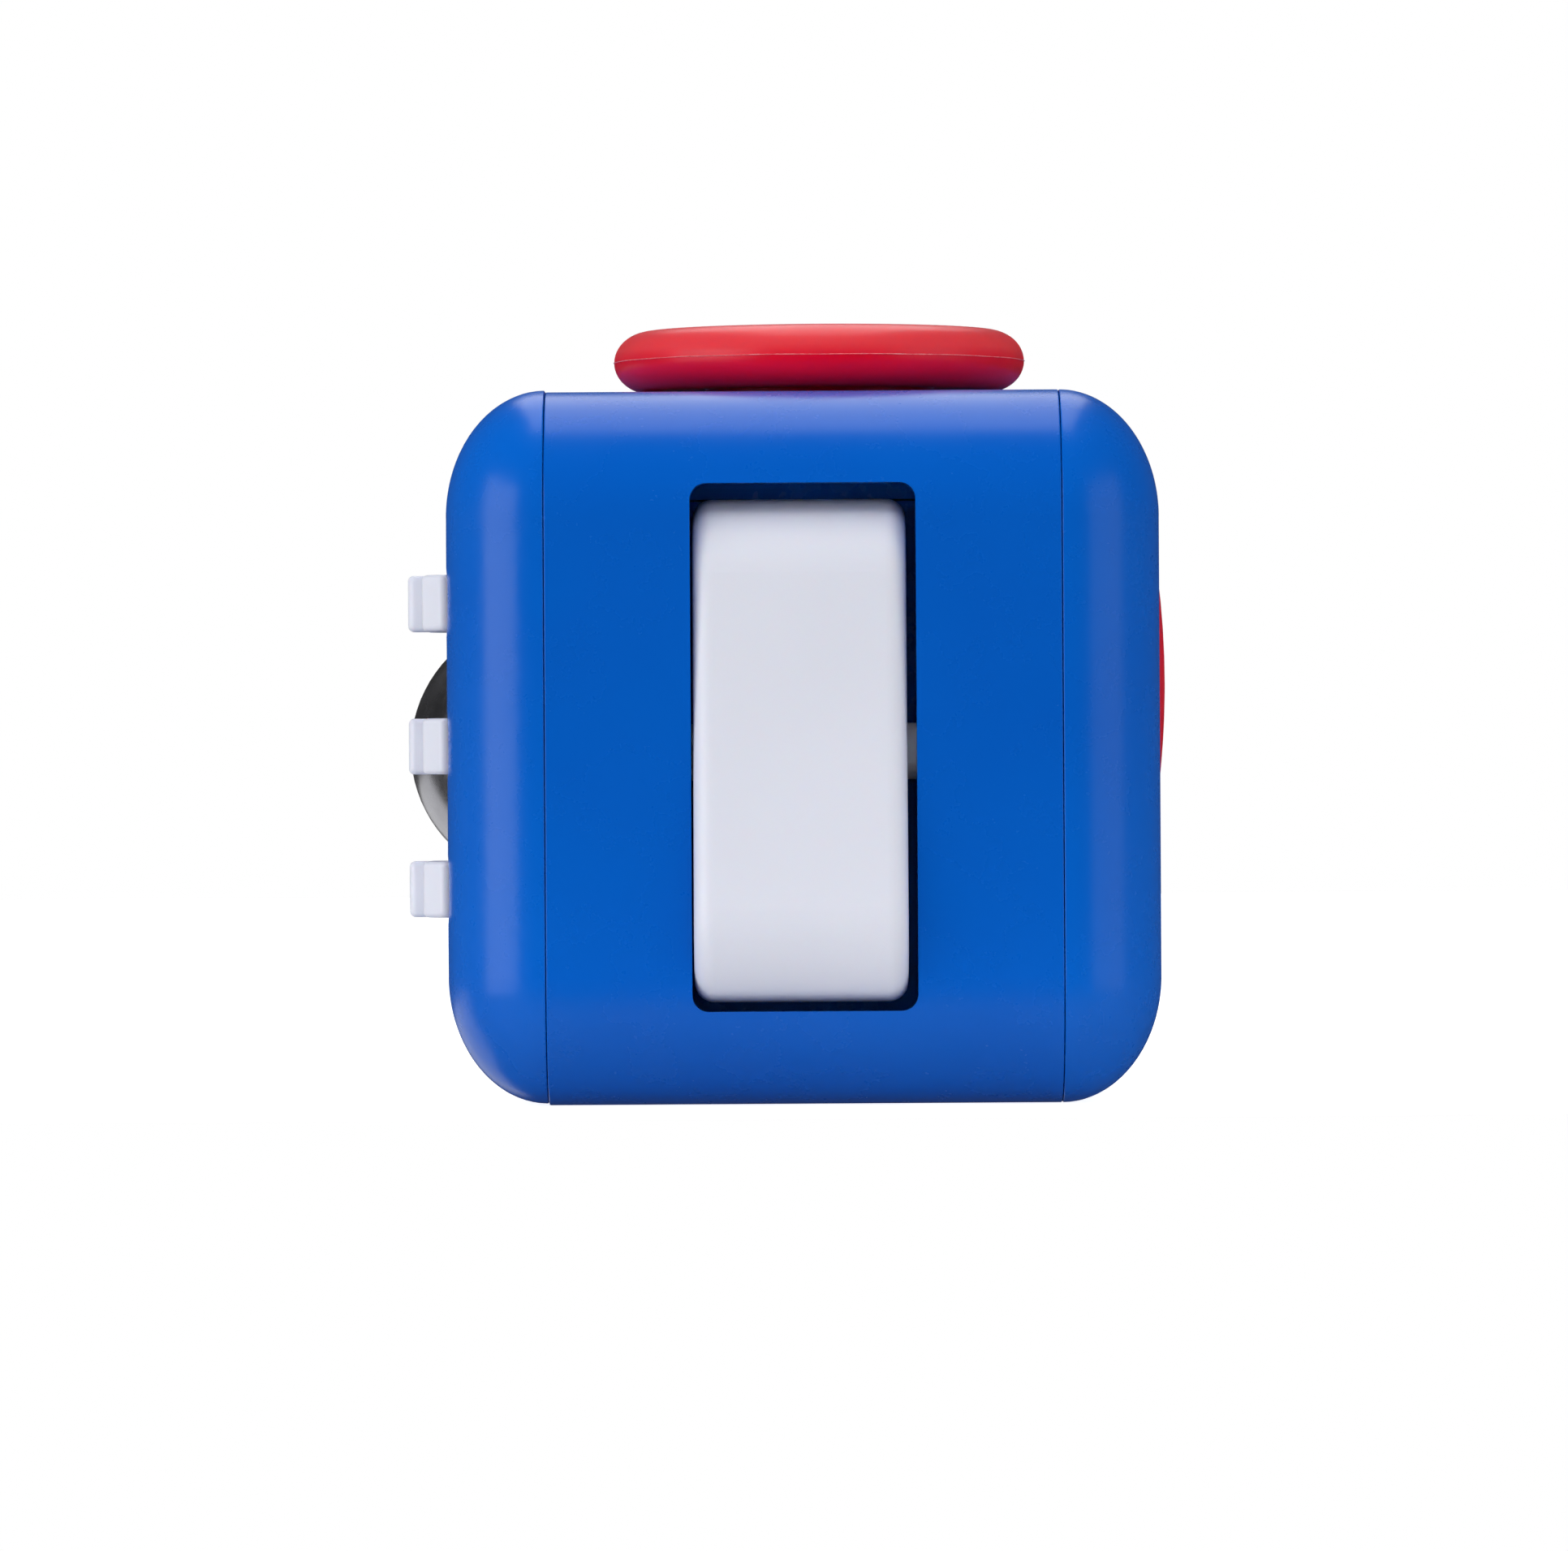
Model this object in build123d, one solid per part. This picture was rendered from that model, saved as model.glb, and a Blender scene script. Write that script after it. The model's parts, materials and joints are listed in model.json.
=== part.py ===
from build123d import *
import os
from math import acos, asin, cos, degrees, radians, sin, sqrt, tan

# A fidget cube: a moulded body with a different thing to play with on each of its six faces.
# The front is -Y, the top is +Z, and the origin is the centre of the face that the cube stands on.
# Every size is in millimetres.

# ------------------------------------------------------------------ body
CUBE = 33.0                 # edge length
HALF = CUBE / 2
CORNER = 5.9                # rounding of the edges, measured across a face
SEAM_X = 11.87              # the body splits into a middle band and two side caps here
SEAM_GAP = 0.03
SEAM_EDGE = 0.07            # small rounding along both sides of a seam
CAP_DEPTH = HALF - SEAM_X
WALL = 2.0
INSIDE = HALF - WALL
INSIDE_CORNER = CORNER - WALL
LEFT_CAP_LIFT = 0.08        # the left cap sits slightly high on the band
LIP_FIT = 0.1               # play between a cap's lip and the band
LIP_THICKNESS = 1.0
LIP_END = 10.4
LIP_BRIDGE = 0.3            # seam to the web that joins the lip to the cap's wall
OVERLAP = 0.5               # how far a post or rib sinks into the wall that it stands on
CUT_MARGIN = 1.0            # how far a cut reaches past the wall that it goes through

# ------------------------------------------------------------------ front face: rocker
SLOT_WIDTH = 10.34
SLOT_HEIGHT = 24.2
SLOT_CORNER = 0.75
ROCKER_X = -0.17            # the rocker sits against the left side of its slot
ROCKER_WIDTH = 9.8
ROCKER_HALF_LENGTH = 11.6
ROCKER_TILT = 7.0           # degrees from level, either way
ROCKER_SLOPE = 3.0          # slope of each half towards the shallow valley in the middle
ROCKER_VALLEY = 4.0         # pivot to the bottom of the valley
ROCKER_VALLEY_RADIUS = 60.0
ROCKER_END_RADIUS = 3.7
ROCKER_SIDE_RADIUS = 0.9
ROCKER_END_BACK = -0.2
ROCKER_HUB_BACK = 1.0
ROCKER_HUB_HALF = 4.5
PIVOT_Y = -HALF + 3.5
PIVOT_Z = HALF - 0.2
TRUNNION_RADIUS = 1.3
TRUNNION_LENGTH = 13.0
TRUNNION_FIT = 0.05
PLUNGER_RADIUS = 0.9
PLUNGER_FIT = 0.05
PLUNGER_TIP = 3.0           # pivot to the plunger's tip
PLUNGER_BACK = 0.2
PLUNGER_NOSE = 0.7          # rounding of the plunger's tip
PLUNGER_BORE_END = -1.9
CRADLE_INNER = 5.25
CRADLE_OUTER = 6.75
CRADLE_Z = (6.6, 26.4)
CRADLE_BACK_Z = (3.9, 27.9)
CRADLE_FLOOR = (-9.75, -8.55)
CRADLE_RIDGE = 0.15
CRADLE_EAR = (-12.0, -10.8)
CRADLE_SCREW_X = 8.4
CRADLE_SCREW_Z = (13.2, 19.8)
CRADLE_SCREW_LENGTH = 3.6

# ------------------------------------------------------------------ top face: gliding disc
GLIDE_REST_X = 0.86         # where the disc rests, off the middle of its hole
GLIDE_TRAVEL = 1.5          # each way from the middle, along X and along Y
DISC_RADIUS = 9.7
DISC_RIM = 1.7              # radial width of the rounded rim
DISC_MIDDLE_Z = CUBE + 1.75
DISC_UNDER_Z = CUBE + 0.3
DISC_RECESS = 0.4           # the underside rises by this much towards the stem
DISC_RECESS_EDGE = 0.25
DISC_RIM_TOP_Z = CUBE + 3.22
DISC_TOP_Z = CUBE + 3.42
STEM_RADIUS = 5.4
STEM_END_Z = CUBE - 1.8
GLIDE_MARGIN = 0.3          # spare room past each end of the glide
HOLE_RADIUS = STEM_RADIUS + GLIDE_TRAVEL * sqrt(2) + GLIDE_MARGIN / 3
POST_HALF = 2.6             # square part that slides in the carriage
POST_SHOULDER_RADIUS = 5.0
POST_PLUG_RADIUS = 3.0
POST_PLUG_Z = CUBE + 1.4
POST_END_Z = 29.1
POST_WASHER_RADIUS = 3.8
POST_SCREW_LENGTH = 4.2
CARRIAGE_FIT = 0.05
CARRIAGE_HALF_X = 6.8
CARRIAGE_HALF_Y = 7.2
CARRIAGE_Z = (29.25, 30.8)
TRAY_HALF_X = 9.9
TRAY_HALF_Y = 9.7
TRAY_Z = (28.0, CUBE - WALL)
TRAY_LEDGE_Z = 29.1
TRAY_LEDGE_Y = 6.3
TRAY_POCKET_X = CARRIAGE_HALF_X + GLIDE_TRAVEL + GLIDE_MARGIN
TRAY_RAIL = 1.0             # width of the ledge that the carriage's ends glide on
TRAY_SCREW = (8.2, 8.55)
TRAY_SCREW_LENGTH = 4.2
DAMPER_Z = (CUBE - WALL + 0.1, CUBE - 0.5)

# ------------------------------------------------------------------ left face: gears and ball
GEAR_TEETH = 9
GEAR_RADIUS = 4.9
GEAR_ROOT = 3.95
GEAR_THICKNESS = 2.6
GEAR_TOOTH_TIP = 10.0       # half angle of a tooth at its tip, in degrees
GEAR_TOOTH_ROOT = 14.0      # half angle of a tooth at its root
GEAR_TOOTH_CORNER = 0.35
GEAR_EDGE = 0.25
GEAR_TIP_X = -HALF - 1.9
GEAR_X = GEAR_TIP_X + GEAR_RADIUS
GEAR_Y = -6.6
GEAR_PITCH = 6.65
GEAR_MIDDLE_Z = HALF + 0.15
GEAR_NAMES = ("lower", "middle", "upper")
GEAR_SLOT_MARGIN = 0.35
AXLE_RADIUS = 0.75
AXLE_FIT = 0.07
AXLE_HALF_LENGTH = 10.3
RIB_DEPTH_X = (-INSIDE, -12.2)
RIB_HALF_Y = 1.6
RIB_MOUTH = 1.35
BALL_RADIUS = 6.35
BALL_X = -HALF + 4.07
BALL_Y = 5.4
BALL_FIT = 0.08
BALL_TRAVEL = 0.8
CUP_RADIUS = 6.95
CUP_RIM_X = -12.2
CUP_STEM_RADIUS = 1.5
CUP_STEM_END = -1.2
SPRING_FIT = 0.1
SPRING_WIRE = 0.5
BRACKET_X = (-3.2, -2.0)
BRACKET_HALF_Y = 2.4
BRACKET_SCREW_Z = 8.9
BRACKET_SCREW_LENGTH = 5.0
BRACKET_POST_RADIUS = 1.4

# ------------------------------------------------------------------ right face: spinning dial
DIAL_Z = HALF + 0.8
DIAL_LEAN = 3.2             # the dial's axis leans downward by this many degrees
DIAL_RADIUS = 10.2
DIAL_DOME_RADIUS = 41.0
DIAL_APEX = 0.54            # height of the dome above the cap's face
DIAL_BACK = -2.4
DIAL_EDGE = 0.4
DIMPLE_OFFSET = 6.2
DIMPLE_RADIUS = 3.2
DIMPLE_DEPTH = 1.1
POCKET_RADIUS = 10.5
POCKET_FLOOR_X = 13.3
POCKET_BACK_X = 12.0
POCKET_WALL = 1.2
HUB_RADIUS = 2.4
HUB_FIT = 0.08
HUB_END = -5.0
DIAL_WASHER_RADIUS = 4.0
DIAL_WAVE_RADIUS = 3.7
DIAL_WAVE_SPAN = (HUB_END + 0.05, HUB_END + 0.25)
DIAL_SCREW_LENGTH = 3.8
WASHER_THICKNESS = 0.8

# ------------------------------------------------------------------ back face: five buttons
BUTTON_PITCH = 5.6
BUTTON_RADIUS = 2.62
BUTTON_FIT = 0.08
BUTTON_TOP = HALF + 1.2
BUTTON_EDGE = 0.6
BUTTON_FLANGE_RADIUS = 3.3
BUTTON_FLANGE_Y = (13.2, 14.3)
BUTTONS = {                 # name: (x, z from the middle, has a clicking switch)
    "centre": (0.0, 0.0, True),
    "upper_left": (-BUTTON_PITCH, BUTTON_PITCH, False),
    "upper_right": (BUTTON_PITCH, BUTTON_PITCH, True),
    "lower_left": (-BUTTON_PITCH, -BUTTON_PITCH, True),
    "lower_right": (BUTTON_PITCH, -BUTTON_PITCH, False),
}
SWITCH_HALF = 2.1
SWITCH_CORNER = 0.35
SWITCH_Y = (10.5, 12.3)
SWITCH_PLUNGER_RADIUS = 0.9
SWITCH_PLUNGER_FIT = 0.06
SWITCH_PLUNGER_Y = (11.5, 13.2)
SWITCH_BORE_Y = 10.8
PAD_RADIUS = 1.9
PAD_EDGE = 0.6
PAD_Y = (10.5, 13.15)
BOARD_Y = (9.5, 10.5)
BOARD_HALF = 10.2
BOARD_CORNER = 1.0
BOARD_SCREW = 9.0
BOARD_SCREW_LENGTH = 4.4
BOARD_POST_RADIUS = 1.3
BOARD_NOTCH_RADIUS = 5.9
POST_RADIUS = 1.5

# ------------------------------------------------------------------ bottom face: thumb rest
REST_RADIUS = 10.0
REST_DEPTH = 2.4
REST_EDGE = 0.8

# ------------------------------------------------------------------ small screws
SCREW_SHANK = 0.55
SCREW_PILOT = 0.57
SCREW_HOLE = 0.7
SCREW_HEAD = 1.25
SCREW_HEAD_HEIGHT = 0.8
SCREW_HEAD_EDGE = 0.27
CROSS_WIDTH = 0.32
CROSS_LENGTH = 1.5
CROSS_DEPTH = 0.4

TURN_TO = {"X": Rot(0, 90, 0), "Y": Rot(-90, 0, 0), "Z": Rot(0, 0, 0)}
SIDES = (-1, 1)


# ------------------------------------------------------------------ building blocks
def block(x, y, z):
    """Box between a low and a high value on each axis."""
    spans = (x, y, z)
    middle = [(low + high) / 2 for low, high in spans]
    size = [high - low for low, high in spans]
    return Pos(*middle) * Box(*size)


def rod(axis, radius, span, centre=(0, 0)):
    """Round bar along an axis; centre holds its other two coordinates, in X, Y, Z order."""
    middle = (span[0] + span[1]) / 2
    place = list(centre)
    place.insert("XYZ".index(axis), middle)
    return Pos(*place) * TURN_TO[axis] * Cylinder(radius, span[1] - span[0])


def square_bar(half, corner, start, end):
    """Bar along X with a rounded square section, level with the middle of the cube."""
    section = Plane.YZ * RectangleRounded(2 * half, 2 * half, corner)
    return Pos(start, 0, HALF) * extrude(section, amount=end - start)


def rounded_block(half, depth, corner):
    """Square block on the plane X = 0, rounded towards its face at X = depth by quarter ellipses."""
    flat = half - corner
    arc = EllipticalCenterArc((0, 0), depth, corner, arc_size=90)
    quarter = make_face(arc + Polyline(arc @ 1, (0, 0), arc @ 0))
    edge = Pos(0, flat, -flat) * extrude(quarter, amount=2 * flat)
    octant = Pos(0, flat, flat) * revolve(quarter, Axis.X, revolution_arc=90)
    solid = block((0, depth), (-flat, flat), (-flat, flat))
    for turn in range(4):
        solid += Rot(90 * turn, 0, 0) * (edge + octant)
    return solid


def round_corners(face, points, radius):
    """Round the corners of a flat outline that lie nearest to the points."""
    corners = [face.vertices().sort_by_distance(point)[0] for point in points]
    return fillet(corners, radius)


def dome_arc(radius, reach, top):
    """Arc of a dome's section, from its top on the axis out to the reach."""
    return CenterArc((0, top - radius), radius, 90, -degrees(asin(reach / radius)))


def screw(length):
    """Small pan-head screw along Z, its shank below Z = 0 and its head above."""
    head = Pos(0, 0, SCREW_HEAD_HEIGHT / 2) * Cylinder(SCREW_HEAD, SCREW_HEAD_HEIGHT)
    head = fillet(head.edges().group_by(Axis.Z)[-1], SCREW_HEAD_EDGE)
    shank = Pos(0, 0, -length / 2) * Cylinder(SCREW_SHANK, length)
    cross = Box(CROSS_LENGTH, CROSS_WIDTH, 2 * CROSS_DEPTH) + Box(CROSS_WIDTH, CROSS_LENGTH, 2 * CROSS_DEPTH)
    return head + shank - Pos(0, 0, SCREW_HEAD_HEIGHT) * cross


def spring_sleeve(axis, inner, outer, span, centre):
    """Closed shape that a coil spring fills."""
    return rod(axis, outer, span, centre) - rod(axis, inner, span, centre)


# ------------------------------------------------------------------ body
def button_places():
    """Each button's name, X, Z and whether it clicks."""
    return [(name, x, HALF + z, clicks) for name, (x, z, clicks) in BUTTONS.items()]


def board_screw_places():
    return [(x * BOARD_SCREW, HALF + z * BOARD_SCREW) for x in SIDES for z in SIDES]


def tray_screw_places():
    return [(x * TRAY_SCREW[0], y * TRAY_SCREW[1]) for x in SIDES for y in SIDES]


def cradle_screw_places():
    return [(x * CRADLE_SCREW_X, z) for x in SIDES for z in CRADLE_SCREW_Z]


def bracket_screw_places():
    return [(BALL_Y, HALF + z * BRACKET_SCREW_Z) for z in SIDES]


def thumb_rest_ball(extra):
    """Ball whose lower cap hollows the bottom face; extra makes it larger for the wall above."""
    radius = (REST_RADIUS**2 + REST_DEPTH**2) / (2 * REST_DEPTH)
    return Pos(0, 0, REST_DEPTH - radius) * Sphere(radius + extra)


def central_band():
    end = SEAM_X - SEAM_GAP / 2
    outer = square_bar(HALF, CORNER, -end, end)
    ends = outer.faces().filter_by(Axis.X)
    outer = fillet(ends.edges(), SEAM_EDGE)
    hollow = square_bar(INSIDE, INSIDE_CORNER, -SEAM_X, SEAM_X)
    bulge = thumb_rest_ball(WALL) & block((-SEAM_X, SEAM_X), (-HALF, HALF), (WALL / 2, HALF))
    band = outer - hollow + (bulge & hollow)

    slot = Plane.XZ * RectangleRounded(SLOT_WIDTH, SLOT_HEIGHT, SLOT_CORNER)
    band -= Pos(0, CUT_MARGIN - INSIDE, HALF) * extrude(slot, amount=WALL + 2 * CUT_MARGIN)
    band -= rod("Z", HOLE_RADIUS, (TRAY_Z[1] - CUT_MARGIN, CUBE + CUT_MARGIN))
    for _, x, z, _ in button_places():
        band -= rod("Y", BUTTON_RADIUS + BUTTON_FIT, (INSIDE - CUT_MARGIN, HALF + CUT_MARGIN), (x, z))
    for x, z in cradle_screw_places():
        band += rod("Y", POST_RADIUS, (-INSIDE - OVERLAP, CRADLE_EAR[0]), (x, z))
        band -= rod("Y", SCREW_PILOT, (-INSIDE - OVERLAP, CRADLE_EAR[0]), (x, z))
    for x, z in board_screw_places():
        band += rod("Y", BOARD_POST_RADIUS, (BOARD_Y[1], INSIDE + OVERLAP), (x, z))
        band -= rod("Y", SCREW_PILOT, (BOARD_Y[1], INSIDE + OVERLAP), (x, z))
    for x, y in tray_screw_places():
        band -= rod("Z", SCREW_PILOT, (TRAY_Z[1], TRAY_Z[0] + TRAY_SCREW_LENGTH), (x, y))

    band -= thumb_rest_ball(0)
    rest_rim = band.edges().filter_by(GeomType.CIRCLE).filter_by_position(Axis.Z, -SEAM_GAP, SEAM_GAP)
    return fillet(rest_rim.sort_by(SortBy.RADIUS)[-1], REST_EDGE)


def cap_shell():
    """Side cap on the plane X = 0 with its outer face towards +X, level with Z = 0."""
    outer = rounded_block(HALF, CAP_DEPTH - SEAM_GAP / 2, CORNER)
    seam = outer.faces().sort_by(Axis.X)[0]
    outer = fillet(seam.edges(), SEAM_EDGE)
    hollow = rounded_block(INSIDE, CAP_DEPTH - WALL, INSIDE_CORNER)
    return outer - hollow


def cap_lip():
    """Collar of the right cap that plugs into the band."""
    outer_half = INSIDE - LIP_FIT
    outer_corner = INSIDE_CORNER - LIP_FIT
    inner_half = outer_half - LIP_THICKNESS
    inner_corner = outer_corner - LIP_THICKNESS
    end = SEAM_X + LIP_THICKNESS
    outside = square_bar(outer_half, outer_corner, LIP_END, end)
    inside = square_bar(inner_half, inner_corner, LIP_END - CUT_MARGIN, end + CUT_MARGIN)
    bridge = square_bar(INSIDE + WALL / 2, INSIDE_CORNER + WALL / 2, SEAM_X + LIP_BRIDGE, end)
    return outside + bridge - inside


def left_cap():
    shell = Pos(-SEAM_X - SEAM_GAP / 2, 0, HALF + LEFT_CAP_LIFT) * Rot(0, 0, 180) * cap_shell()
    cap = shell + mirror(cap_lip(), Plane.YZ)
    for z in rib_spans():
        cap += axle_rib(z)
    post_span = (-INSIDE - OVERLAP, BRACKET_X[0])
    for y, z in bracket_screw_places():
        cap += rod("X", BRACKET_POST_RADIUS, post_span, (y, z))
        cap -= rod("X", SCREW_PILOT, post_span, (y, z))
    slot_length = 2 * sqrt(GEAR_RADIUS**2 - (GEAR_X + INSIDE)**2) + 2 * GEAR_SLOT_MARGIN
    slot_height = GEAR_THICKNESS + 2 * GEAR_SLOT_MARGIN
    slot = Plane.YZ * RectangleRounded(slot_length, slot_height, slot_height / 3)
    for _, z in gear_places():
        cap -= Pos(-HALF - CUT_MARGIN, GEAR_Y, z) * extrude(slot, amount=WALL + 2 * CUT_MARGIN)
    return cap - Pos(BALL_X, BALL_Y, HALF) * Sphere(BALL_RADIUS + 2 * BALL_FIT)


def right_cap():
    cap = Pos(SEAM_X + SEAM_GAP / 2, 0, HALF) * cap_shell() + cap_lip()
    cap += rod("X", POCKET_RADIUS + POCKET_WALL, (POCKET_BACK_X, INSIDE + OVERLAP), (0, DIAL_Z))
    cap -= rod("X", POCKET_RADIUS, (POCKET_FLOOR_X, HALF + CUT_MARGIN), (0, DIAL_Z))
    return cap - dial_place() * Pos(0, 0, HUB_END) * Cylinder(HUB_RADIUS + HUB_FIT, 2 * WALL)


# ------------------------------------------------------------------ rocker
def rocker_place():
    """Place of the rocker's own frame, whose origin is the pivot and whose front is -Y."""
    return Pos(ROCKER_X, PIVOT_Y, PIVOT_Z) * Rot(-ROCKER_TILT, 0, 0)


def rocker():
    end_front = -ROCKER_VALLEY - ROCKER_HALF_LENGTH * tan(radians(ROCKER_SLOPE))
    front = (end_front, ROCKER_HALF_LENGTH)
    back = (ROCKER_END_BACK, ROCKER_HALF_LENGTH)
    hub = (ROCKER_HUB_BACK, ROCKER_HUB_HALF)
    upper = [front, back, hub]
    lower = [(y, -z) for y, z in reversed(upper)]
    outline = make_face(Polyline((-ROCKER_VALLEY, 0), *upper, *lower, close=True))
    outline = round_corners(outline, [(-ROCKER_VALLEY, 0)], ROCKER_VALLEY_RADIUS)
    outline = round_corners(outline, [front, lower[-1]], ROCKER_END_RADIUS)
    body = extrude(Plane.YZ * outline, amount=ROCKER_WIDTH / 2, both=True)
    rims = [edge for side in body.faces().filter_by(Axis.X) for edge in side.edges()]
    body = fillet([edge for edge in rims if edge.center().Y < 2 * ROCKER_END_BACK], ROCKER_SIDE_RADIUS)
    body += rod("X", TRUNNION_RADIUS, (-TRUNNION_LENGTH / 2, TRUNNION_LENGTH / 2))
    bore_span = (PLUNGER_BORE_END, ROCKER_HUB_BACK + CUT_MARGIN)
    body -= rod("Y", PLUNGER_RADIUS + PLUNGER_FIT, bore_span)
    return rocker_place() * body


def rocker_plunger():
    pin = rod("Y", PLUNGER_RADIUS, (PLUNGER_BACK, PLUNGER_TIP))
    tip = pin.edges().group_by(Axis.Y)[-1]
    return rocker_place() * fillet(tip, PLUNGER_NOSE)


def rocker_plunger_spring():
    outer = PLUNGER_RADIUS - PLUNGER_FIT
    return rocker_place() * spring_sleeve("Y", outer / 2, outer, (PLUNGER_BORE_END, PLUNGER_BACK), (0, 0))


def rocker_cradle():
    """Channel behind the slot: its open notches carry the trunnions and the front wall closes them."""
    cradle = block((-CRADLE_OUTER, CRADLE_OUTER), CRADLE_FLOOR, CRADLE_BACK_Z)
    for side in SIDES:
        plate = sorted((side * CRADLE_INNER, side * CRADLE_OUTER))
        cradle += block(plate, (-INSIDE, CRADLE_FLOOR[0]), CRADLE_Z)
        notch = TRUNNION_RADIUS + TRUNNION_FIT
        cradle -= rod("X", notch, plate, (PIVOT_Y, PIVOT_Z))
        cradle -= block(plate, (-INSIDE, PIVOT_Y), (PIVOT_Z - notch, PIVOT_Z + notch))
    for x, z in cradle_screw_places():
        reach = sorted((x, x / abs(x) * CRADLE_INNER))
        ear = block(reach, CRADLE_EAR, (z - POST_RADIUS, z + POST_RADIUS))
        cradle += ear + rod("Y", POST_RADIUS, CRADLE_EAR, (x, z))
        cradle -= rod("Y", SCREW_HOLE, CRADLE_EAR, (x, z))
    top = CRADLE_FLOOR[0]
    ridge = Polyline((top, -2 * CRADLE_RIDGE), (top - CRADLE_RIDGE, 0), (top, 2 * CRADLE_RIDGE), close=True)
    cradle += Pos(0, 0, PIVOT_Z) * extrude(Plane.YZ * make_face(ridge), amount=POST_RADIUS, both=True)
    return cradle


def cradle_screws():
    shape = Rot(-90, 0, 0) * screw(CRADLE_SCREW_LENGTH)
    return [Pos(x, CRADLE_EAR[1], z) * shape for x, z in cradle_screw_places()]


# ------------------------------------------------------------------ gliding disc
def joystick_cap():
    inner = DISC_RADIUS - DISC_RIM
    centre = (inner, DISC_MIDDLE_Z)
    lower = EllipticalCenterArc(centre, DISC_RIM, DISC_MIDDLE_Z - DISC_UNDER_Z, -90, arc_size=90)
    upper = EllipticalCenterArc(centre, DISC_RIM, DISC_RIM_TOP_Z - DISC_MIDDLE_Z, arc_size=90)
    rise = DISC_TOP_Z - DISC_RIM_TOP_Z
    crown = dome_arc((inner**2 + rise**2) / (2 * rise), inner, DISC_TOP_Z)
    inside = Polyline(
        (0, DISC_TOP_Z),
        (0, STEM_END_Z),
        (STEM_RADIUS, STEM_END_Z),
        (STEM_RADIUS, DISC_UNDER_Z + DISC_RECESS),
        (inner, DISC_UNDER_Z),
    )
    section = make_face(lower + upper + crown + inside)
    section = round_corners(section, [(STEM_RADIUS, DISC_UNDER_Z + DISC_RECESS)], DISC_RECESS_EDGE)
    cap = revolve(Plane.XZ * section, Axis.Z)
    cap -= rod("Z", POST_PLUG_RADIUS, (STEM_END_Z, POST_PLUG_Z))
    return Pos(GLIDE_REST_X, 0, 0) * cap


def joystick_post():
    square = block((-POST_HALF, POST_HALF), (-POST_HALF, POST_HALF), (POST_END_Z, STEM_END_Z))
    post = square + rod("Z", POST_PLUG_RADIUS, (STEM_END_Z, POST_PLUG_Z))
    post += rod("Z", POST_SHOULDER_RADIUS, (CARRIAGE_Z[1] + LIP_FIT, STEM_END_Z))
    post -= rod("Z", SCREW_PILOT, (POST_END_Z, POST_END_Z + POST_SCREW_LENGTH))
    return Pos(GLIDE_REST_X, 0, 0) * post


def joystick_washer():
    span = (POST_END_Z - WASHER_THICKNESS, POST_END_Z)
    washer = rod("Z", POST_WASHER_RADIUS, span) - rod("Z", SCREW_HOLE, span)
    return Pos(GLIDE_REST_X, 0, 0) * washer


def joystick_screw():
    return Pos(GLIDE_REST_X, 0, POST_END_Z - WASHER_THICKNESS) * Rot(180, 0, 0) * screw(POST_SCREW_LENGTH)


def glide_carriage():
    """Plate that slides along X in the tray; the post slides along Y in its slot."""
    half_x = CARRIAGE_HALF_X
    half_y = CARRIAGE_HALF_Y - CARRIAGE_FIT
    plate = block((-half_x, half_x), (-half_y, half_y), CARRIAGE_Z)
    slot_x = POST_HALF + CARRIAGE_FIT
    slot_y = POST_HALF + GLIDE_TRAVEL + GLIDE_MARGIN
    plate -= block((-slot_x, slot_x), (-slot_y, slot_y), CARRIAGE_Z)
    return Pos(GLIDE_REST_X, 0, 0) * plate


def glide_tray():
    """Frame under the top wall with rails for the carriage."""
    tray = block((-TRAY_HALF_X, TRAY_HALF_X), (-TRAY_HALF_Y, TRAY_HALF_Y), TRAY_Z)
    pocket_x = (-TRAY_POCKET_X, TRAY_POCKET_X)
    tray -= block(pocket_x, (-CARRIAGE_HALF_Y, CARRIAGE_HALF_Y), (TRAY_LEDGE_Z, TRAY_Z[1]))
    opening = TRAY_POCKET_X - TRAY_RAIL
    tray -= block((-opening, opening), (-TRAY_LEDGE_Y, TRAY_LEDGE_Y), TRAY_Z)
    for x, y in tray_screw_places():
        tray -= rod("Z", SCREW_HOLE, TRAY_Z, (x, y))
    return tray


def glide_tray_screws():
    shape = Rot(180, 0, 0) * screw(TRAY_SCREW_LENGTH)
    return [Pos(x, y, TRAY_Z[0]) * shape for x, y in tray_screw_places()]


def glide_damper_ring():
    """Soft ring in the top hole that steadies the stem."""
    ring = rod("Z", HOLE_RADIUS - LIP_FIT, DAMPER_Z)
    return ring - rod("Z", STEM_RADIUS + LIP_FIT, DAMPER_Z, (GLIDE_REST_X, 0))


# ------------------------------------------------------------------ gears and ball
def gear_places():
    return [(name, GEAR_MIDDLE_Z + step * GEAR_PITCH) for step, name in enumerate(GEAR_NAMES, -1)]


def rib_spans():
    """Heights of the ribs that hold the axle, between and outside the gears."""
    half_gear = GEAR_THICKNESS / 2 + GEAR_SLOT_MARGIN
    end = GEAR_PITCH + half_gear
    low = [(-AXLE_HALF_LENGTH, -end), (half_gear - GEAR_PITCH, -half_gear)]
    spans = low + [(-high, -start) for start, high in low]
    return [(GEAR_MIDDLE_Z + start, GEAR_MIDDLE_Z + high) for start, high in spans]


def axle_rib(z):
    """Rib with a snap notch that opens away from the outer wall."""
    depth = (RIB_DEPTH_X[0] - OVERLAP, RIB_DEPTH_X[1])
    rib = block(depth, (GEAR_Y - RIB_HALF_Y, GEAR_Y + RIB_HALF_Y), z)
    rib -= rod("Z", AXLE_RADIUS, z, (GEAR_X, GEAR_Y))
    return rib - block((GEAR_X, RIB_DEPTH_X[1]), (GEAR_Y - RIB_MOUTH / 2, GEAR_Y + RIB_MOUTH / 2), z)


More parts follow.
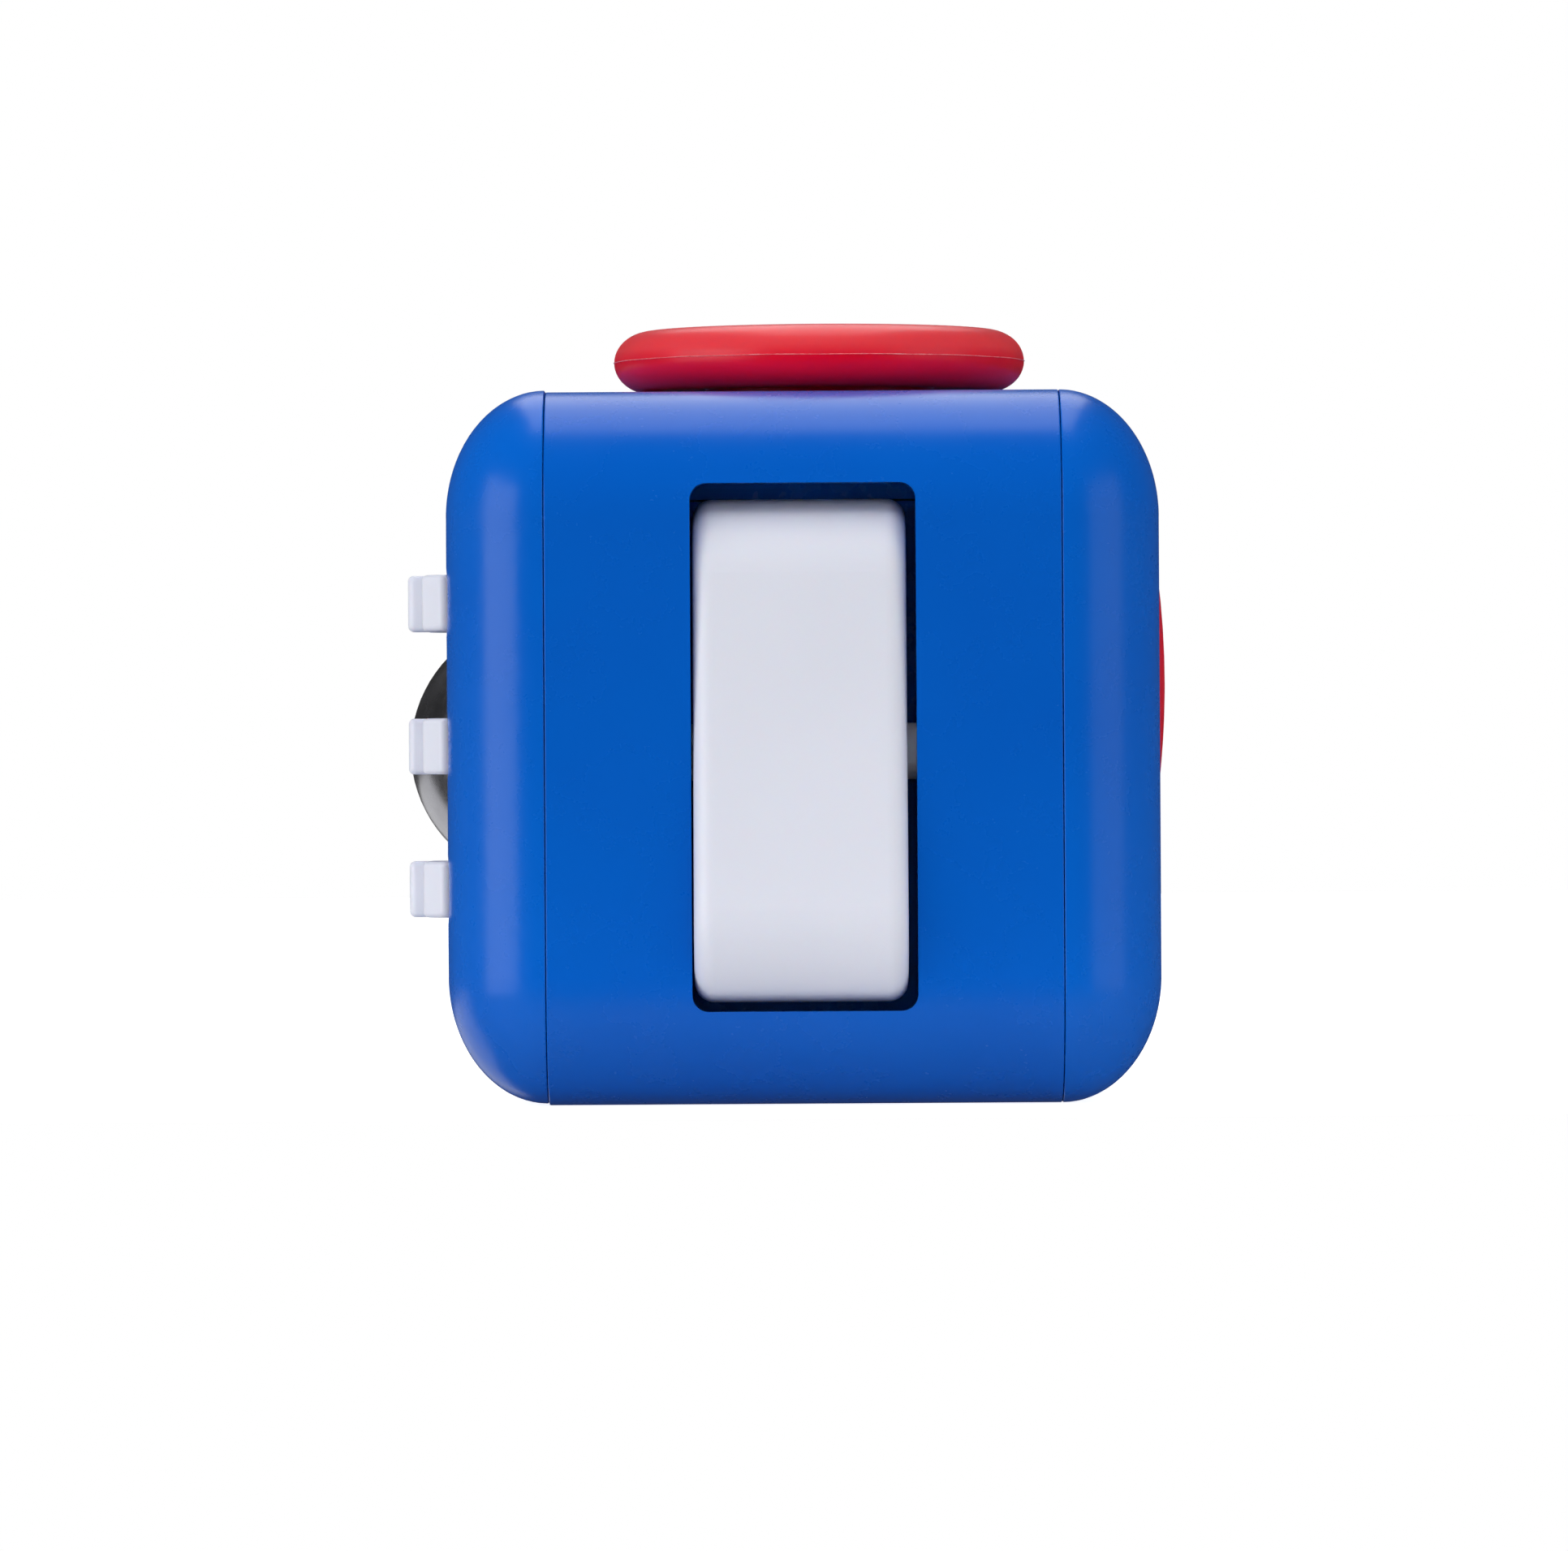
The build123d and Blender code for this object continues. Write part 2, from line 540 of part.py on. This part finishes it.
def gear(z):
    """Wheel with square-shouldered teeth, one of them pointing straight out of the cap."""
    tip_half = radians(GEAR_TOOTH_TIP)
    root_half = radians(GEAR_TOOTH_ROOT)
    reach = GEAR_ROOT * cos(root_half)
    flank = [(reach, GEAR_ROOT * sin(root_half)), (GEAR_RADIUS, GEAR_RADIUS * sin(tip_half))]
    outline = [(x, -y) for x, y in flank] + flank[::-1]
    tooth = make_face(Polyline((0, 0), *outline, close=True))
    wheel = Circle(GEAR_ROOT)
    for number in range(GEAR_TEETH):
        wheel += Rot(0, 0, 180 + 360 / GEAR_TEETH * number) * tooth
    wheel = fillet(wheel.vertices(), GEAR_TOOTH_CORNER)
    wheel = extrude(wheel, amount=GEAR_THICKNESS / 2, both=True)
    wheel = fillet(wheel.faces().filter_by(Axis.Z).edges(), GEAR_EDGE)
    wheel -= rod("Z", AXLE_RADIUS + AXLE_FIT, (-GEAR_THICKNESS, GEAR_THICKNESS))
    return Pos(GEAR_X, GEAR_Y, z) * wheel


def gear_axle():
    span = (GEAR_MIDDLE_Z - AXLE_HALF_LENGTH, GEAR_MIDDLE_Z + AXLE_HALF_LENGTH)
    axle = rod("Z", AXLE_RADIUS, span, (GEAR_X, GEAR_Y))
    return chamfer(axle.edges().filter_by(GeomType.CIRCLE), AXLE_RADIUS / 4)


def steel_ball():
    return Pos(BALL_X, BALL_Y, HALF) * Sphere(BALL_RADIUS)


def ball_cup():
    """Cup behind the ball with a stem that slides in the bracket."""
    rim = CUP_RIM_X - BALL_X
    inner_radius = BALL_RADIUS + BALL_FIT
    stem_angle = degrees(asin(CUP_STEM_RADIUS / CUP_RADIUS))
    outer = CenterArc((0, 0), CUP_RADIUS, stem_angle, degrees(acos(rim / CUP_RADIUS)) - stem_angle)
    inner = CenterArc((0, 0), inner_radius, 0, degrees(acos(rim / inner_radius)))
    stem_end = CUP_STEM_END - BALL_X
    stem = Polyline(outer @ 0, (stem_end, CUP_STEM_RADIUS), (stem_end, 0), inner @ 0)
    section = make_face(outer + inner + stem + Line(outer @ 1, inner @ 1))
    return Pos(BALL_X, BALL_Y, HALF) * revolve(section, Axis.X)


def ball_spring():
    inner = CUP_STEM_RADIUS + SPRING_FIT
    span = (BALL_X + CUP_RADIUS, BRACKET_X[0])
    return spring_sleeve("X", inner, inner + SPRING_WIRE, span, (BALL_Y, HALF))


def ball_bracket():
    reach = BRACKET_SCREW_Z
    plate = block(BRACKET_X, (BALL_Y - BRACKET_HALF_Y, BALL_Y + BRACKET_HALF_Y), (HALF - reach, HALF + reach))
    for y, z in bracket_screw_places():
        plate += rod("X", BRACKET_HALF_Y, BRACKET_X, (y, z))
        plate -= rod("X", SCREW_HOLE, BRACKET_X, (y, z))
    return plate - rod("X", CUP_STEM_RADIUS + BALL_FIT, BRACKET_X, (BALL_Y, HALF))


def ball_bracket_screws():
    shape = Rot(0, 90, 0) * screw(BRACKET_SCREW_LENGTH)
    return [Pos(BRACKET_X[1], y, z) * shape for y, z in bracket_screw_places()]


# ------------------------------------------------------------------ dial
def dial_place():
    """Frame of the dial: Z along its axis, origin in the plane of the cap's face."""
    axis = (cos(radians(DIAL_LEAN)), 0, -sin(radians(DIAL_LEAN)))
    return Plane(origin=(HALF, 0, DIAL_Z), x_dir=(0, 1, 0), z_dir=axis).location


def dial():
    dome = dome_arc(DIAL_DOME_RADIUS, DIAL_RADIUS, DIAL_APEX)
    section = make_face(dome + Polyline(dome @ 1, (DIAL_RADIUS, DIAL_BACK), (0, DIAL_BACK), dome @ 0))
    section = round_corners(section, [dome @ 1], DIAL_EDGE)
    body = revolve(Plane.XZ * section, Axis.Z)
    surface = DIAL_APEX - DIMPLE_OFFSET**2 / (2 * DIAL_DOME_RADIUS)
    dimple = (DIMPLE_RADIUS**2 + DIMPLE_DEPTH**2) / (2 * DIMPLE_DEPTH)
    body -= Pos(0, -DIMPLE_OFFSET, surface - DIMPLE_DEPTH + dimple) * Sphere(dimple)
    rim = body.edges().filter_by(GeomType.CIRCLE).sort_by(SortBy.RADIUS)
    body = fillet([edge for edge in rim if abs(edge.radius - DIMPLE_RADIUS) < DIMPLE_RADIUS / 10], DIAL_EDGE)
    body += rod("Z", HUB_RADIUS, (HUB_END, DIAL_BACK))
    body -= rod("Z", SCREW_PILOT, (HUB_END, HUB_END + DIAL_SCREW_LENGTH))
    return dial_place() * body


def dial_wave_washer():
    ring = rod("Z", DIAL_WAVE_RADIUS, DIAL_WAVE_SPAN) - rod("Z", HUB_RADIUS + SPRING_FIT, DIAL_WAVE_SPAN)
    return dial_place() * ring


def dial_washer():
    span = (HUB_END - WASHER_THICKNESS, HUB_END)
    return dial_place() * (rod("Z", DIAL_WASHER_RADIUS, span) - rod("Z", SCREW_HOLE, span))


def dial_screw():
    return dial_place() * Pos(0, 0, HUB_END - WASHER_THICKNESS) * Rot(180, 0, 0) * screw(DIAL_SCREW_LENGTH)


# ------------------------------------------------------------------ buttons
def click_button(x, z):
    stalk = rod("Y", BUTTON_RADIUS, (BUTTON_FLANGE_Y[1], BUTTON_TOP), (x, z))
    stalk = fillet(stalk.edges().group_by(Axis.Y)[-1], BUTTON_EDGE)
    return stalk + rod("Y", BUTTON_FLANGE_RADIUS, BUTTON_FLANGE_Y, (x, z))


def tactile_switch(x, z):
    body = block((x - SWITCH_HALF, x + SWITCH_HALF), SWITCH_Y, (z - SWITCH_HALF, z + SWITCH_HALF))
    bore = SWITCH_PLUNGER_RADIUS + SWITCH_PLUNGER_FIT
    body = chamfer(body.edges().filter_by(Axis.Y), SWITCH_CORNER)
    return body - rod("Y", bore, (SWITCH_BORE_Y, SWITCH_Y[1]), (x, z))


def switch_plunger(x, z):
    return rod("Y", SWITCH_PLUNGER_RADIUS, SWITCH_PLUNGER_Y, (x, z))


def silicone_pad(x, z):
    pad = rod("Y", PAD_RADIUS, PAD_Y, (x, z))
    return fillet(pad.edges().group_by(Axis.Y)[-1], PAD_EDGE)


def click_board():
    board = block((-BOARD_HALF, BOARD_HALF), BOARD_Y, (HALF - BOARD_HALF, HALF + BOARD_HALF))
    board = chamfer(board.edges().filter_by(Axis.Y), BOARD_CORNER)
    for x, z in board_screw_places():
        board -= rod("Y", SCREW_HOLE, BOARD_Y, (x, z))
    return board - rod("Y", BOARD_NOTCH_RADIUS, BOARD_Y, (BALL_X + BALL_TRAVEL, HALF))


def click_board_screws():
    shape = Rot(90, 0, 0) * screw(BOARD_SCREW_LENGTH)
    return [Pos(x, BOARD_Y[0], z) * shape for x, z in board_screw_places()]


# ------------------------------------------------------------------ the whole cube
def build_parts():
    """Every piece of the cube by name; a list is a group of identical separate pieces."""
    single = [
        central_band, left_cap, right_cap,
        rocker, rocker_plunger, rocker_plunger_spring, rocker_cradle, cradle_screws,
        joystick_cap, joystick_post, joystick_washer, joystick_screw,
        glide_carriage, glide_tray, glide_tray_screws, glide_damper_ring,
        gear_axle, steel_ball, ball_cup, ball_spring, ball_bracket, ball_bracket_screws,
        dial, dial_wave_washer, dial_washer, dial_screw,
        click_board, click_board_screws,
    ]
    parts = {make.__name__: make() for make in single}
    for name, z in gear_places():
        parts[f"gear_{name}"] = gear(z)
    for name, x, z, clicks in button_places():
        parts[f"button_{name}"] = click_button(x, z)
        if clicks:
            parts[f"switch_body_{name}"] = tactile_switch(x, z)
            parts[f"switch_plunger_{name}"] = switch_plunger(x, z)
        else:
            parts[f"silicone_pad_{name}"] = silicone_pad(x, z)
    return parts


def save(name, shape):
    """Write one piece, or one group of separate pieces, to its own file."""
    pieces = shape if isinstance(shape, list) else [shape]
    solids = [solid for piece in pieces for solid in piece.solids()]
    whole = solids[0] if len(solids) == 1 else Compound(children=solids)
    export_step(whole, f"parts/{name}.step")


os.makedirs("parts", exist_ok=True)
for part_name, part_shape in build_parts().items():
    save(part_name, part_shape)
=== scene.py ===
import json
import random
from math import cos, pi, radians, sin

import bpy
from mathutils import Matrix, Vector


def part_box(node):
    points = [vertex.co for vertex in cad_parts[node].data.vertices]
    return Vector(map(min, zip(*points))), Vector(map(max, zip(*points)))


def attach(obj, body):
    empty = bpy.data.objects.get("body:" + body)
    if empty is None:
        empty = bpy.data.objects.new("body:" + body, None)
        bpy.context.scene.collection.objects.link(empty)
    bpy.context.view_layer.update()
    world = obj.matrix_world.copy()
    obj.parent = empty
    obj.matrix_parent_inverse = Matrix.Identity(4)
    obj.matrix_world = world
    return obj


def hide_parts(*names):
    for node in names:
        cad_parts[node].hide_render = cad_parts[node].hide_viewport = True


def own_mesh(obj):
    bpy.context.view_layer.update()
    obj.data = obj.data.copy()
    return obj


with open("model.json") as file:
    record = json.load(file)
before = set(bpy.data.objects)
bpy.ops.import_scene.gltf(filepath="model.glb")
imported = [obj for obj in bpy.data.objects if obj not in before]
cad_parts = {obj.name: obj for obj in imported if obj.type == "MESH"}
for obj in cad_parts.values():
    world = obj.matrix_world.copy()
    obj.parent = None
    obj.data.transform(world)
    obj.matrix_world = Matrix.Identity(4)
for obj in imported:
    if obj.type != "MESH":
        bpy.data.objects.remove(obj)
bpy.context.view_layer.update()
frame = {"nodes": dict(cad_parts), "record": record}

MM = 0.001
NODES = frame["nodes"]
SLOTS = {row["node"]: row["material_slot"] for row in frame["record"]["subparts"]}
DISC_LOW, DISC_HIGH = (Vector(corner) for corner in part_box("joystick_cap"))
DISC_PARTING = DISC_HIGH.z - 1.67 * MM


# ------------------------------------------------------------------ node helpers
class Shader:
    """A material under construction, with short calls for the nodes it uses."""

    def __init__(self, name, **constants):
        self.material = bpy.data.materials.new(name)
        self.material.use_nodes = True
        self.tree = self.material.node_tree
        self.tree.nodes.clear()
        self.surface = self.node("ShaderNodeBsdfPrincipled")
        output = self.node("ShaderNodeOutputMaterial")
        self.link(self.surface.outputs["BSDF"], output.inputs["Surface"])
        for socket, value in constants.items():
            self.surface.inputs[socket.replace("_", " ")].default_value = value
        self.place = self.node("ShaderNodeTexCoord").outputs["Object"]

    def node(self, kind, **settings):
        made = self.tree.nodes.new(kind)
        for key, value in settings.items():
            setattr(made, key, value)
        return made

    def link(self, source, target):
        self.tree.links.new(source, target)

    def noise(self, size, detail=2.0, roughness=0.5):
        """Noise whose blobs are about size metres across."""
        noise = self.node("ShaderNodeTexNoise")
        noise.inputs["Scale"].default_value = 1.0 / size
        noise.inputs["Detail"].default_value = detail
        noise.inputs["Roughness"].default_value = roughness
        self.link(self.place, noise.inputs["Vector"])
        return noise.outputs["Fac"]

    def cells(self, size):
        """Distance to the nearest of points that lie about size metres apart."""
        cells = self.node("ShaderNodeTexVoronoi", feature="F1")
        cells.inputs["Scale"].default_value = 1.0 / size
        self.link(self.place, cells.inputs["Vector"])
        return cells.outputs["Distance"]

    def ramp(self, value, low, high, out_low=0.0, out_high=1.0):
        """Value mapped from the span low..high to out_low..out_high, and held at its ends."""
        span = self.node("ShaderNodeMapRange", clamp=True)
        for name, number in zip(("From Min", "From Max", "To Min", "To Max"), (low, high, out_low, out_high)):
            span.inputs[name].default_value = number
        self.link(value, span.inputs["Value"])
        return span.outputs["Result"]

    def maths(self, operation, first, second):
        maths = self.node("ShaderNodeMath", operation=operation)
        for socket, value in zip(maths.inputs, (first, second)):
            if isinstance(value, (int, float)):
                socket.default_value = value
            else:
                self.link(value, socket)
        return maths.outputs["Value"]

    def mix(self, factor, first, second):
        """Blend of two colours, each a tuple or a node's output."""
        mix = self.node("ShaderNodeMix", data_type="RGBA")
        self.link(factor, mix.inputs["Factor"])
        for socket, value in zip((mix.inputs[6], mix.inputs[7]), (first, second)):
            if isinstance(value, tuple):
                socket.default_value = (*value, 1.0)
            else:
                self.link(value, socket)
        return mix.outputs[2]

    def colour(self, source):
        self.link(source, self.surface.inputs["Base Color"])

    def roughness(self, source):
        self.link(source, self.surface.inputs["Roughness"])

    def bump(self, layers):
        """Bump from (height, depth in metres) layers, one on the other."""
        normal = None
        for height, depth in layers:
            bump = self.node("ShaderNodeBump")
            bump.inputs["Strength"].default_value = 1.0
            bump.inputs["Distance"].default_value = depth
            self.link(height, bump.inputs["Height"])
            if normal is not None:
                self.link(normal, bump.inputs["Normal"])
            normal = bump.outputs["Normal"]
        self.link(normal, self.surface.inputs["Normal"])

    def height(self, low, high):
        """0 at the height low, 1 at the height high, in the object's frame."""
        split = self.node("ShaderNodeSeparateXYZ")
        self.link(self.place, split.inputs["Vector"])
        return self.ramp(split.outputs["Z"], low, high)


# ------------------------------------------------------------------ materials
MICRON = 0.000001
RED_DEEP, RED_PALE = (0.56, 0.0, 0.017), (0.62, 0.002, 0.024)
# Painted sheen: the paler red of the disc's top half, standing in for reflected light.
RED_PAINTED_SHEEN = (0.6, 0.038, 0.05)
PIT_COLOUR = (0.16, 0.14, 0.13)


def moulded_plastic(
    name, deep, pale, grain=0.09 * MM, grain_depth=0.8 * MICRON, rough=(0.34, 0.44), painted_sheen=None, **constants
):
    """Moulded plastic: cloudy colour, fine mould grain, pale specks, and smoother worn patches.

    The optional pair gives the colour of a paler upper half and the height of the line where it starts: that
    paler half is painted sheen, standing in for light reflected off the top.
    """
    shader = Shader(name, **constants)
    cloud = shader.noise(11 * MM, detail=3.0)
    colour = shader.mix(shader.ramp(cloud, 0.3, 0.7), deep, pale)
    if painted_sheen:
        sheen_colour, line = painted_sheen
        # Painted sheen: the part above the line is drawn paler, as if lit by the reflection of an overhead
        # light.
        colour = shader.mix(shader.height(line - 0.08 * MM, line + 0.5 * MM), colour, sheen_colour)
    specks = shader.ramp(shader.cells(1.1 * MM), 0.02, 0.05, 0.28, 0.0)
    rare = shader.ramp(shader.noise(2.1 * MM), 0.64, 0.7)
    speck_colour = tuple(min(1.0, channel * 1.25 + 0.03) for channel in pale)
    colour = shader.mix(shader.maths("MULTIPLY", specks, rare), colour, speck_colour)
    shader.colour(colour)
    wear = shader.noise(3.5 * MM, detail=5.0, roughness=0.62)
    shader.roughness(shader.ramp(wear, 0.3, 0.7, *rough))
    fine = shader.noise(grain, detail=2.0)
    wavy = shader.noise(6 * MM, detail=1.0)
    shader.bump([(wavy, 20 * MICRON), (fine, grain_depth)])
    return shader.material


def steel(name, colour, rough):
    """Worn steel: dull patches, fine scratches and dark specks."""
    shader = Shader(name, Metallic=1.0)
    patch = shader.noise(2.8 * MM, detail=6.0, roughness=0.65)
    dark = tuple(channel * 0.72 for channel in colour)
    shade = shader.mix(shader.ramp(patch, 0.35, 0.65), dark, colour)
    pits = shader.ramp(shader.cells(0.6 * MM), 0.03, 0.09, 0.6, 0.0)
    few = shader.ramp(shader.noise(1.7 * MM), 0.55, 0.62)
    shader.colour(shader.mix(shader.maths("MULTIPLY", pits, few), shade, PIT_COLOUR))
    shader.roughness(shader.ramp(patch, 0.35, 0.65, *rough))
    shader.bump([(shader.noise(0.9 * MM, detail=5.0, roughness=0.7), 3 * MICRON)])
    return shader.material


MATERIALS = {
    "blue_shell": moulded_plastic(
        "blue_plastic", (0.0, 0.084, 0.44), (0.0, 0.092, 0.462), rough=(0.24, 0.3), IOR=1.45,
    ),
    # The caps: the same blue drawn a little lighter, painted light for the brighter shading near the seams.
    "painted_lit_blue": moulded_plastic(
        "painted_lit_blue_plastic", (0.0, 0.09, 0.462), (0.0, 0.099, 0.485), rough=(0.24, 0.3), IOR=1.45,
    ),
    "white_plastic": moulded_plastic(
        "white_plastic", (0.615, 0.63, 0.71), (0.64, 0.655, 0.735), grain=0.16 * MM, grain_depth=0.6 * MICRON,
        rough=(0.29, 0.33), IOR=1.49, Subsurface_Weight=0.06, Subsurface_Scale=0.6 * MM,
    ),
    "red_plastic": moulded_plastic(
        "red_plastic", RED_DEEP, RED_PALE, grain=0.13 * MM, grain_depth=MICRON,
        rough=(0.36, 0.46), IOR=1.47, Subsurface_Weight=0.4, Subsurface_Scale=4 * MM,
    ),
    # The disc: red with a painted sheen on its top half, above the parting line.
    "painted_sheen_red": moulded_plastic(
        "painted_sheen_red_plastic", RED_DEEP, RED_PALE, grain=0.13 * MM, grain_depth=MICRON,
        rough=(0.3, 0.38), painted_sheen=(RED_PAINTED_SHEEN, DISC_PARTING), IOR=1.49,
        Subsurface_Weight=0.4, Subsurface_Scale=4 * MM,
    ),
    "silicone": moulded_plastic(
        "grey_silicone", (0.22, 0.22, 0.24), (0.28, 0.28, 0.3), rough=(0.5, 0.62), IOR=1.41,
    ),
    "circuit_board": moulded_plastic(
        "green_board", (0.01, 0.13, 0.04), (0.02, 0.18, 0.06), rough=(0.3, 0.4), IOR=1.5,
    ),
    "switch_plastic": moulded_plastic(
        "black_plastic", (0.012, 0.012, 0.013), (0.02, 0.02, 0.022), rough=(0.4, 0.5), IOR=1.5,
    ),
    "inner_plastic": moulded_plastic(
        "dark_plastic", (0.05, 0.05, 0.056), (0.075, 0.075, 0.08), rough=(0.45, 0.55), IOR=1.5,
    ),
    "ball_steel": steel("ball_steel", (0.64, 0.64, 0.69), (0.2, 0.36)),
    "fastener_steel": steel("zinc_steel", (0.66, 0.67, 0.68), (0.24, 0.36)),
}


def dress_frame():
    """Give every CAD node the material of its slot; the caps take a lighter blue and the disc a paler top
    half, both painted light.
    """
    shades = {"joystick_cap": "painted_sheen_red", "left_cap": "painted_lit_blue", "right_cap": "painted_lit_blue"}
    for name, node in NODES.items():
        node.data.materials.clear()
        node.data.materials.append(MATERIALS[shades.get(name, SLOTS[name])])


dress_frame()


# ------------------------------------------------------------------ soft pieces
def soften(name):
    """Copy of a spring or pad in its rest shape, attached to the housing in place of the CAD node."""
    copy = NODES[name].copy()
    copy.data = copy.data.copy()
    copy.name = f"{name}_soft"
    copy.parent = None
    copy.matrix_world = NODES[name].matrix_world.copy()
    bpy.context.scene.collection.objects.link(copy)
    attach(copy, "housing")
    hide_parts(name)
    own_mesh(copy)


soften("ball_spring")
soften("silicone_pad_upper_left")
soften("silicone_pad_lower_right")


# ------------------------------------------------------------------ parting flash on the disc
def add_parting_flash():
    """Thin ragged line of flash where the two halves of the disc's mould met."""
    middle = (DISC_LOW + DISC_HIGH) / 2
    radius = (DISC_HIGH.y - DISC_LOW.y) / 2
    dice = random.Random(7)
    steps = 720
    reach, thick = 0.02 * MM, 0.02 * MM
    rows = []
    for step in range(steps):
        reach += (dice.uniform(0.015, 0.075) * MM - reach) * 0.5
        thick += (dice.uniform(0.015, 0.06) * MM - thick) * 0.4
        turn = 2 * pi * step / steps
        way = Vector((cos(turn), sin(turn), 0))
        lift = DISC_PARTING + 0.012 * MM * sin(9 * turn) * cos(4 * turn)
        axis_point = Vector((middle.x, middle.y, lift))
        root = axis_point + way * (radius - 0.05 * MM)
        tip = axis_point + way * (radius + reach)
        rows.append([root + Vector((0, 0, -thick)), tip, root + Vector((0, 0, thick))])
    points = [point for row in rows for point in row]
    faces = []
    for step in range(steps):
        this, after = 3 * step, 3 * ((step + 1) % steps)
        for side in range(3):
            other = (side + 1) % 3
            faces.append((this + side, after + side, after + other, this + other))
    mesh = bpy.data.meshes.new("joystick_parting_flash")
    mesh.from_pydata(points, [], faces)
    mesh.validate()
    flash = bpy.data.objects.new("joystick_parting_flash", mesh)
    bpy.context.scene.collection.objects.link(flash)
    pale_red = moulded_plastic("red_flash", (0.75, 0.14, 0.15), (0.88, 0.4, 0.38), rough=(0.4, 0.5))
    mesh.materials.append(pale_red)
    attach(flash, "joystick")


add_parting_flash()


# ------------------------------------------------------------------ camera
BODY_LOW, BODY_HIGH = (Vector(corner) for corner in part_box("central_band"))
BODY_MIDDLE = (BODY_LOW + BODY_HIGH) / 2
CAMERA_OFFSET = Vector((-0.92, -480, -1.3)) * MM
CAMERA_ROLL = radians(0.35)


def add_camera():
    """Long lens, level with the middle of the cube and square to its front."""
    data = bpy.data.cameras.new("camera")
    data.sensor_width = 36.0
    data.lens = 232.8
    data.clip_start = 0.01
    data.clip_end = 10.0
    camera = bpy.data.objects.new("camera", data)
    camera.location = BODY_MIDDLE + CAMERA_OFFSET
    camera.rotation_euler = (radians(90), CAMERA_ROLL, 0)
    bpy.context.scene.collection.objects.link(camera)
    bpy.context.scene.camera = camera


# ------------------------------------------------------------------ light and floor
def panel(name, place, size, radiance, diffuse=True, glossy=True):
    """Soft panel of an even brightness, aimed at the middle of the cube."""
    data = bpy.data.lights.new(name, "AREA")
    data.shape = "RECTANGLE"
    data.size, data.size_y = size
    data.energy = radiance * pi * size[0] * size[1]
    data.cycles.use_multiple_importance_sampling = glossy
    light = bpy.data.objects.new(name, data)
    light.location = place
    light.rotation_euler = (BODY_MIDDLE - Vector(place)).to_track_quat("-Z", "Y").to_euler()
    light.visible_diffuse = diffuse
    light.visible_glossy = glossy
    light.visible_camera = False
    bpy.context.scene.collection.objects.link(light)


def add_lights():
    """Panels that the plastic mirrors at its edges, and broad ones that only light it."""
    reach, height = 0.6, 0.1
    side = radians(64)
    for name, way, radiance in (("left_softbox", -1, 1.65), ("right_softbox", 1, 0.55)):
        place = (way * reach * sin(side), -reach * cos(side), height)
        panel(name, place, (0.5, 0.42), radiance)
    panel("overhead_strip", (0.0, 0.3, 0.66), (0.42, 0.9), 2.0, diffuse=False)
    panel("table_glow", (-0.35, 0.43, -0.22), (0.5, 0.34), 0.7, diffuse=False)
    panel("top_front_fill", (-0.02, -0.09, 0.1), (0.1, 0.03), 4.0, glossy=False)
    panel("low_front_fill", (0.0, -0.6, -0.02), (1.0, 0.3), 1.22, glossy=False)
    tent_size = (2.4, 1.8)
    tent = {
        "front": ((0, -1.2, 0.3), 0.5),
        "left": ((-1.2, 0, 0.4), 0.86),
        "right": ((1.2, 0, 0.4), 0.8),
        "back": ((0, 1.2, 0.4), 0.86),
        "top": ((0, 0, 1.3), 0.86),
    }
    for name, (place, radiance) in tent.items():
        panel(f"tent_{name}", place, tent_size, radiance, glossy=False)


def seen_white(tree, dim, strength):
    """One brightness to the camera, and another to everything else."""
    path = tree.nodes.new("ShaderNodeLightPath")
    mix = tree.nodes.new("ShaderNodeMix")
    mix.data_type = "FLOAT"
    mix.inputs[2].default_value = dim
    mix.inputs[3].default_value = strength
    tree.links.new(path.outputs["Is Camera Ray"], mix.inputs["Factor"])
    return mix.outputs[0]


def add_world():
    """White to the camera and nearly dark to everything else: the panels give the light."""
    world = bpy.data.worlds.new("studio")
    world.use_nodes = True
    bpy.context.scene.world = world
    back = world.node_tree.nodes["Background"]
    back.inputs["Color"].default_value = (1, 1, 1, 1)
    world.node_tree.links.new(seen_white(world.node_tree, 0.04, 1.0), back.inputs["Strength"])


def add_floor():
    """Pale floor, white to the camera, that ends just ahead of the cube and lights its lower edges."""
    half_width, front, back = 0.7, -0.03, 0.8
    mesh = bpy.data.meshes.new("floor")
    corners = [(-half_width, front, 0), (half_width, front, 0), (half_width, back, 0), (-half_width, back, 0)]
    mesh.from_pydata(corners, [], [(0, 1, 2, 3)])
    floor = bpy.data.objects.new("floor", mesh)
    bpy.context.scene.collection.objects.link(floor)
    shader = Shader("pale_floor", Roughness=0.9)
    cloud = shader.ramp(shader.noise(0.05), 0.3, 0.7)
    shader.colour(shader.mix(cloud, (0.6, 0.6, 0.605), (0.62, 0.62, 0.625)))
    shader.surface.inputs["Emission Color"].default_value = (1, 1, 1, 1)
    shader.link(seen_white(shader.tree, 0.3, 0.9), shader.surface.inputs["Emission Strength"])
    mesh.materials.append(shader.material)
    floor.visible_glossy = False


add_camera()
add_lights()
add_world()
add_floor()
bpy.context.scene.view_settings.view_transform = "Standard"
